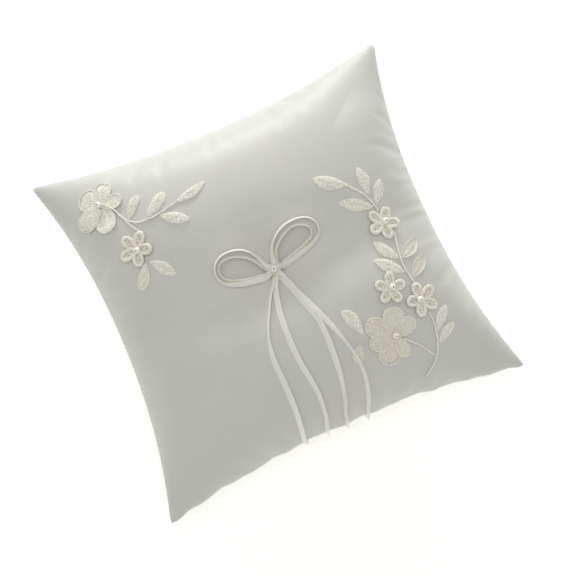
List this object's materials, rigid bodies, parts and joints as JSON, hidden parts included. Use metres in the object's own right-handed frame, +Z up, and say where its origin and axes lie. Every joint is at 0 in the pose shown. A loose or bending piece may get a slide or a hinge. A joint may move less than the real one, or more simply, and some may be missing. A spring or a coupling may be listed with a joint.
{
  "type": "ring bearer pillow",
  "caption": "Square crowned satin ring pillow with a tied ribbon bow, ribbon tails that hang over the front edge, and two beaded lace flower sprays.",
  "frame": {"origin": "middle of the flat underside, on the surface that the pillow rests on", "axes": "+Z up through the crown, +X along the wider side, -Y towards the front side that the ribbon tails hang over"},
  "size_m": [0.2, 0.191, 0.0609],
  "materials": {
    "satin": "smooth ivory satin with a soft sheen",
    "ribbon": "narrow double-face satin ribbon, glossier than the cover",
    "lace": "warm ivory satin-stitch embroidery on sheer net, matt",
    "pearl": "lustrous imitation pearl",
    "thread": "polyester sewing thread",
    "filling": "loose white polyester fibre"
  },
  "bodies": {
    "pillow": {"front_panel": "satin", "back_panel": "satin", "filling": "filling", "seam_thread": "thread", "closure_stitching": "thread", "bow_knot": "ribbon", "bow_pearl": "pearl", "bow_tack_thread": "thread", "tail_1": "ribbon", "tail_2": "ribbon", "tail_3": "ribbon", "tail_4": "ribbon", "left_large_flower": "lace", "left_large_flower_pearl": "pearl", "left_small_flower": "lace", "left_small_flower_pearl": "pearl", "left_main_stem": "lace", "left_branch_stem": "lace", "left_leaf_1": "lace", "left_leaf_2": "lace", "left_leaf_3": "lace", "left_leaf_4": "lace", "left_leaf_5": "lace", "left_leaf_6": "lace", "right_large_flower": "lace", "right_large_flower_pearl": "pearl", "right_upper_flower": "lace", "right_upper_flower_pearl": "pearl", "right_middle_flower": "lace", "right_middle_flower_pearl": "pearl", "right_lower_flower": "lace", "right_lower_flower_pearl": "pearl", "right_upper_stem": "lace", "right_middle_stem": "lace", "right_lower_stem": "lace", "right_branch_stem": "lace", "right_leaf_1": "lace", "right_leaf_2": "lace", "right_leaf_3": "lace", "right_leaf_4": "lace", "right_leaf_5": "lace", "right_leaf_6": "lace", "right_leaf_7": "lace", "right_leaf_8": "lace", "right_leaf_9": "lace", "right_leaf_10": "lace", "right_leaf_11": "lace", "right_leaf_12": "lace"},
    "left_bow_loops": {"left_loop_outer": "ribbon", "left_loop_inner": "ribbon"},
    "right_bow_loops": {"right_loop_outer": "ribbon", "right_loop_inner": "ribbon"},
    "tail_1_drop": {"tail_1_end": "ribbon"},
    "tail_2_drop": {"tail_2_end": "ribbon"},
    "tail_3_drop": {"tail_3_end": "ribbon"},
    "tail_4_drop": {"tail_4_end": "ribbon"}
  },
  "joints": [
    {"name": "left_loops_lift", "type": "hinge", "parent": "pillow", "child": "left_bow_loops", "pos_m": [-0.0039, 0.0016, 0.0565], "axis": [0.364, 0.9314, 0], "range_deg": [0, 65]},
    {"name": "right_loops_lift", "type": "hinge", "parent": "pillow", "child": "right_bow_loops", "pos_m": [0.0032, 0.0023, 0.0565], "axis": [0.5866, -0.8099, 0], "range_deg": [0, 65]},
    {"name": "tail_1_swing", "type": "hinge", "parent": "pillow", "child": "tail_1_drop", "pos_m": [-0.02058, -0.08557, 0.02289], "axis": [1, 0, 0], "range_deg": [-100, 15]},
    {"name": "tail_2_swing", "type": "hinge", "parent": "pillow", "child": "tail_2_drop", "pos_m": [-0.00829, -0.08527, 0.02288], "axis": [1, 0, 0], "range_deg": [-100, 15]},
    {"name": "tail_3_swing", "type": "hinge", "parent": "pillow", "child": "tail_3_drop", "pos_m": [0.0025, -0.08521, 0.02288], "axis": [1, 0, 0], "range_deg": [-100, 15]},
    {"name": "tail_4_swing", "type": "hinge", "parent": "pillow", "child": "tail_4_drop", "pos_m": [0.01438, -0.08535, 0.02288], "axis": [1, 0, 0], "range_deg": [-100, 15]}
  ]
}
